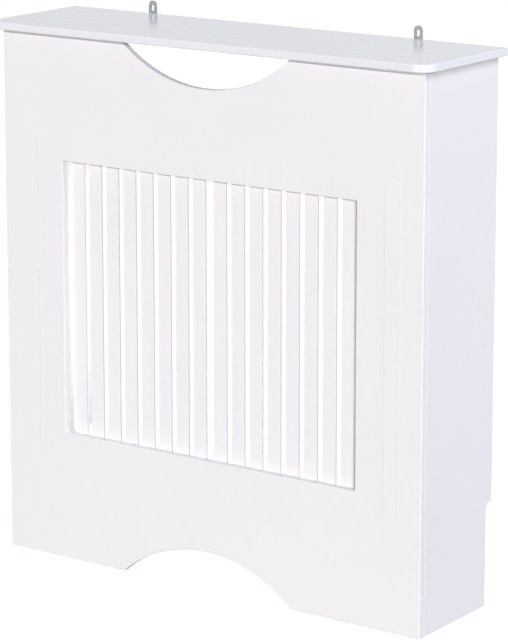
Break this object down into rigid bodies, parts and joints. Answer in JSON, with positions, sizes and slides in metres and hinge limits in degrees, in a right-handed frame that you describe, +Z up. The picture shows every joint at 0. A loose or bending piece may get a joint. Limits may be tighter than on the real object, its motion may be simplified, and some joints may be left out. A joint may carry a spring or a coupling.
{
  "type": "radiator cover cabinet",
  "caption": "White board cover for a radiator: a slatted grille in the front, curved cut-outs above and below it, a projecting shelf on top, and steel brackets that hook it to the wall.",
  "frame": {"origin": "on the floor, under the middle of the whole cabinet's box", "axes": "+X to the right seen from the front, +Y back towards the wall, +Z up"},
  "size_m": [0.78, 0.2136, 0.839],
  "materials": {
    "painted_board": "satin white paint on fibreboard",
    "painted_slat": "satin white paint on thin fibreboard",
    "painted_batten": "satin white paint on fibreboard",
    "bracket_steel": "zinc-plated sheet steel, bright",
    "screw_steel": "zinc-plated steel",
    "cam_zinc": "die-cast zinc, matt",
    "beech": "bare beech"
  },
  "bodies": {
    "root": {"top_shelf": "painted_board", "front_panel": "painted_board", "left_side_panel": "painted_board", "right_side_panel": "painted_board", "left_face_strip": "painted_board", "right_face_strip": "painted_board", "slat_01": "painted_slat", "slat_02": "painted_slat", "slat_03": "painted_slat", "slat_04": "painted_slat", "slat_05": "painted_slat", "slat_06": "painted_slat", "slat_07": "painted_slat", "slat_08": "painted_slat", "slat_09": "painted_slat", "slat_10": "painted_slat", "slat_11": "painted_slat", "slat_12": "painted_slat", "slat_13": "painted_slat", "slat_14": "painted_slat", "slat_15": "painted_slat", "slat_16": "painted_slat", "upper_grille_batten": "painted_batten", "lower_grille_batten": "painted_batten", "upper_batten_screw_1": "screw_steel", "upper_batten_screw_2": "screw_steel", "upper_batten_screw_3": "screw_steel", "upper_batten_screw_4": "screw_steel", "upper_batten_screw_5": "screw_steel", "lower_batten_screw_1": "screw_steel", "lower_batten_screw_2": "screw_steel", "lower_batten_screw_3": "screw_steel", "lower_batten_screw_4": "screw_steel", "lower_batten_screw_5": "screw_steel", "left_wall_bracket": "bracket_steel", "right_wall_bracket": "bracket_steel", "left_bracket_screw_1": "screw_steel", "left_bracket_screw_2": "screw_steel", "right_bracket_screw_1": "screw_steel", "right_bracket_screw_2": "screw_steel", "left_cam_1": "cam_zinc", "left_cam_2": "cam_zinc", "left_cam_3": "cam_zinc", "right_cam_1": "cam_zinc", "right_cam_2": "cam_zinc", "right_cam_3": "cam_zinc", "left_cam_bolt_1": "screw_steel", "left_cam_bolt_2": "screw_steel", "left_cam_bolt_3": "screw_steel", "right_cam_bolt_1": "screw_steel", "right_cam_bolt_2": "screw_steel", "right_cam_bolt_3": "screw_steel", "left_dowel_1": "beech", "left_dowel_2": "beech", "left_dowel_3": "beech", "right_dowel_1": "beech", "right_dowel_2": "beech", "right_dowel_3": "beech"}
  },
  "joints": []
}
